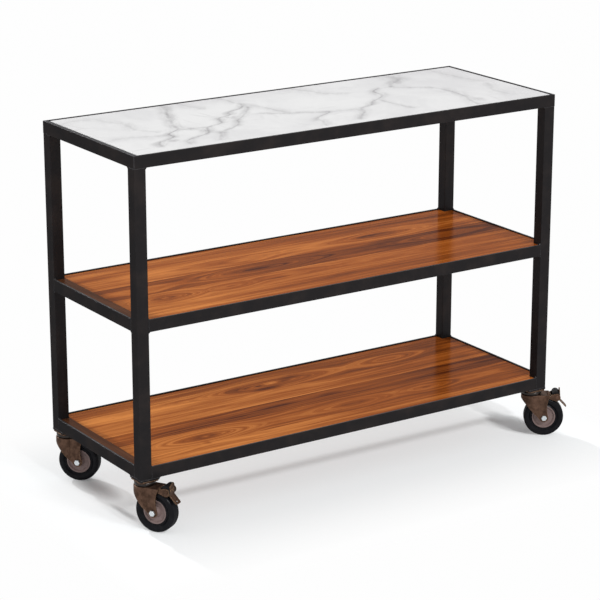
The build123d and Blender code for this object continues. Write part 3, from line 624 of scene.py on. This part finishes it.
# The stone is cloudy, and made greyer toward the right end and the back.
greying = marble.noise(6.0, 5.0, 0.62, bend=0.6).rise(0.35, 0.70, 0.0, 0.55)
greying = greying + x.rise(0.10, 0.58, 0.0, 0.35)
greying = greying + fibre * 0.10 + y.rise(0.0, 0.22, 0.0, 0.22)
stone = marble.mix(greying, white_stone, cloudy_stone)
stone = marble.mix((haze * fibre).most(crack) * haze_cover, stone, haze_grey)
stone = marble.mix(core * patch * core_cover, stone, core_grey)
marble.surface(
    Base_Color=stone,
    Roughness=0.16 + greying * 0.06,
    Specular_IOR_Level=0.20,
)
marble.put_on("marble_top")

dark_birch = (0.30, 0.18, 0.09)
light_birch = (0.52, 0.36, 0.21)
plywood = Finish(bpy.data.materials.new("birch_plywood"))
x, y, z = plywood.parts()
grain = plywood.noise(1.0, 4.0, 0.6, plywood.point(x * 5.0, y * 160.0, z * 900.0))
plywood.surface(
    Base_Color=grain.ramp([(0.2, dark_birch), (0.8, light_birch)]),
    Roughness=0.62 + grain * 0.2,
    Specular_IOR_Level=0.25,
    Normal=plywood.bump(grain, 0.0001),
)
plywood.put_on("top_underlay")


# ---- Casters ------------------------------------------------------------------------------
# Pressed forks, top plates, brake brackets and pedals in bronze-brown plate, its edges golden,
# partly rubbed through and partly painted highlight.  The ball race is dark polished steel.
# Rubber tyres are moulded on mauve nylon hubs, and each front caster has a black nylon brake cam.

bronze_wear_and_highlight_radius = 0.0016
bronze_edge_radius = 0.0008
bronze_relief = 0.00005
dark_bronze = (0.050, 0.028, 0.019)
light_bronze = (0.125, 0.072, 0.050)
golden_wear_and_highlight = (0.42, 0.27, 0.15)
bronze = Finish(bpy.data.materials.new("bronze_plate"))
blotch = bronze.noise(70.0, 4.0, 0.62).rise(0.30, 0.72)
dust = bronze.noise(900.0, 2.0, 0.6)
patchy = bronze.noise(240.0, 2.0, 0.6).rise(0.25, 0.60)
# Painted highlight and wear: sharp edges turn golden, partly rubbed through and partly painted
# highlights.
edge_wear_and_highlight = bronze.edge_band(bronze_wear_and_highlight_radius, 0.02, 0.22) * patchy
bronze_colour = bronze.mix(blotch, dark_bronze, light_bronze)
bronze_colour = bronze.mix(edge_wear_and_highlight * 0.8, bronze_colour, golden_wear_and_highlight)
bronze.surface(
    Base_Color=bronze_colour,
    Metallic=0.8,
    Roughness=0.42 + dust * 0.16,
    Specular_IOR_Level=0.1,
    Specular_Tint=(0.7, 0.7, 0.7, 1.0),
    Normal=bronze.bump(dust, bronze_relief, bronze_edge_radius),
)
bronze.put_on(*[f"{part}_{corner}" for part in ("caster_plate", "fork") for corner in corners])
braked_corners = ("front_left", "front_right")
brake_plates = ("bracket", "rivets", "pin", "pedal")
bronze.put_on(*[f"brake_{part}_{corner}" for part in brake_plates for corner in braked_corners])

dark_race = (0.020, 0.017, 0.016)
light_race = (0.050, 0.043, 0.040)
race = Finish(bpy.data.materials.new("polished_race"))
film = race.noise(160.0, 3.0, 0.6)
race.surface(
    Base_Color=race.mix(film, dark_race, light_race),
    Metallic=0.9,
    Roughness=0.22 + film * 0.16,
)
race.put_on(*[f"ball_race_{corner}" for corner in corners])

dark_mauve = (0.150, 0.105, 0.100)
light_mauve = (0.220, 0.160, 0.150)
nylon = Finish(bpy.data.materials.new("mauve_nylon"))
flow = nylon.noise(120.0, 3.0, 0.6)
nylon.surface(
    Base_Color=nylon.mix(flow, dark_mauve, light_mauve),
    Roughness=0.42 + flow * 0.14,
    Specular_IOR_Level=0.2,
    Normal=nylon.bump(flow, 0.00004),
)
nylon.put_on(*[f"hub_{corner}" for corner in corners])

clean_rubber = (0.0065, 0.0065, 0.0080)
scuffed_rubber = (0.0120, 0.0120, 0.0140)
rubber = Finish(bpy.data.materials.new("black_rubber"))
scuff = rubber.noise(90.0, 4.0, 0.65)
grit = rubber.noise(1300.0, 2.0, 0.6)
rubber.surface(
    Base_Color=rubber.mix(scuff.rise(0.45, 0.75), clean_rubber, scuffed_rubber),
    Roughness=0.60 + scuff * 0.20,
    Specular_IOR_Level=0.0,
    Coat_Weight=0.14,
    Coat_Roughness=0.25,
    Normal=rubber.bump(grit, 0.00005),
)
rubber.put_on(*[f"tyre_{corner}" for corner in corners])

cam_black = (0.006, 0.006, 0.007)
cam_grey = (0.012, 0.012, 0.013)
black_nylon = Finish(bpy.data.materials.new("black_nylon"))
grit = black_nylon.noise(800.0, 2.0, 0.6)
black_nylon.surface(
    Base_Color=black_nylon.mix(grit, cam_black, cam_grey),
    Roughness=0.50 + grit * 0.15,
    Specular_IOR_Level=0.0,
    Coat_Weight=0.20,
    Coat_Roughness=0.30,
    Normal=black_nylon.bump(grit, 0.00004),
)
black_nylon.put_on(*[f"brake_cam_{corner}" for corner in braked_corners])


# ---- Floor, light and camera --------------------------------------------------------------
# A plain white floor and surround, lit by three soft lamps: one from the front, one from the
# front right and a crisper one from behind.  The floor darkens only near the trolley.

floor_reach = 30.0
frame_half_length = 0.60
frame_half_depth = 0.2175
shade_reach = 0.36  # metres from the frame's outline to where the shade ends
shade_depth = 0.62
shade_behind = 0.78  # share of it that is left behind the trolley's middle
end_narrowing = 1.8  # beyond the ends it reaches this much less far
deepest_shade = 0.97
cool_tint = (0.965, 0.995, 1.010)
paper_white = 0.99
lit_paper = (0.90, 0.90, 0.90)
level_light, overhead_light = 1.25, 0.45
# Soft ovals of shade by the left and right wheels.
wheel_shades = (
    (-0.548, 0.105, 0.088, 0.265, 0.98),
    (-0.572, -0.085, 0.036, 0.160, 0.95),
    (0.580, -0.105, 0.095, 0.190, 1.40),
)

floor_mesh = bpy.data.meshes.new("floor")
sheet = bmesh.new()
bmesh.ops.create_grid(sheet, x_segments=1, y_segments=1, size=floor_reach)
sheet.to_mesh(floor_mesh)
sheet.free()
floor = bpy.data.objects.new("floor", floor_mesh)
bpy.context.scene.collection.objects.link(floor)

paper = Finish(bpy.data.materials.new("white_paper"))
shown = paper.shown()
x, y, _ = paper.parts()
outside = ((abs(x) - frame_half_length) * end_narrowing).most(abs(y) - frame_half_depth)
shaded = outside.rise(0.0, shade_reach, shade_depth, 0.0) * y.rise(-0.06, 0.02, 1.0, shade_behind)
wheel_shade = strongest([paper.oval(*shade) for shade in wheel_shades]).least(deepest_shade)
shaded = shaded.most(wheel_shade)
cool_shade = paper.point(*[shaded * tint for tint in cool_tint])
paper.surface(
    Base_Color=paper.mix(shown, lit_paper, cool_shade),
    Roughness=1.0,
    Specular_IOR_Level=0.0,
    Emission_Color=paper.mix(shown, (0, 0, 0), paper_white - shaded),
    Emission_Strength=1.0,
)
floor_mesh.materials.append(paper.owner)

surround = Finish(bpy.data.worlds.new("surround"))
bpy.context.scene.world = surround.owner
shown = surround.shown()
direction = surround.node("ShaderNodeTexCoord", output="Generated")
tent = surround.parts(direction)[2].rise(0.0, 0.8, level_light, overhead_light)
sky = surround.mix(shown, tent, (1, 1, 1))
surround.end(surround.node("ShaderNodeBackground", inputs={"Color": sky, "Strength": 1.0}))


def lamp(name, travel, strength, spread):
    """Soft distant lamp whose light travels in a direction, spread in degrees."""
    light = bpy.data.lights.new(name, "SUN")
    light.energy = strength
    light.angle = math.radians(spread)
    holder = bpy.data.objects.new(name, light)
    holder.rotation_mode = "QUATERNION"
    holder.rotation_quaternion = Vector(travel).to_track_quat("-Z", "Y")
    bpy.context.scene.collection.objects.link(holder)


lamp("lamp_front", (0.03, 1.18, -1.0), 0.85, 6.0)
lamp("lamp_right", (-0.32, 1.22, -1.0), 0.80, 10.0)
lamp("lamp_behind", (0.17, -1.90, -1.0), 2.00, 3.0)

lens_length = 138.0  # millimetres, on a sensor 36 wide
eye_place = (-3.023, -4.552, 2.087)
turn, tip = math.radians(33.45), math.radians(17.05)  # clockwise from +Y, and downward
camera = bpy.data.cameras.new("camera")
camera.sensor_width = 36.0
camera.lens = lens_length
camera.clip_end = 100.0
eye = bpy.data.objects.new("camera", camera)
eye.location = eye_place
look = Vector((math.sin(turn) * math.cos(tip), math.cos(turn) * math.cos(tip), -math.sin(tip)))
eye.rotation_mode = "QUATERNION"
eye.rotation_quaternion = look.to_track_quat("-Z", "Y")
bpy.context.scene.collection.objects.link(eye)
bpy.context.scene.camera = eye
bpy.context.scene.view_settings.view_transform = "Standard"
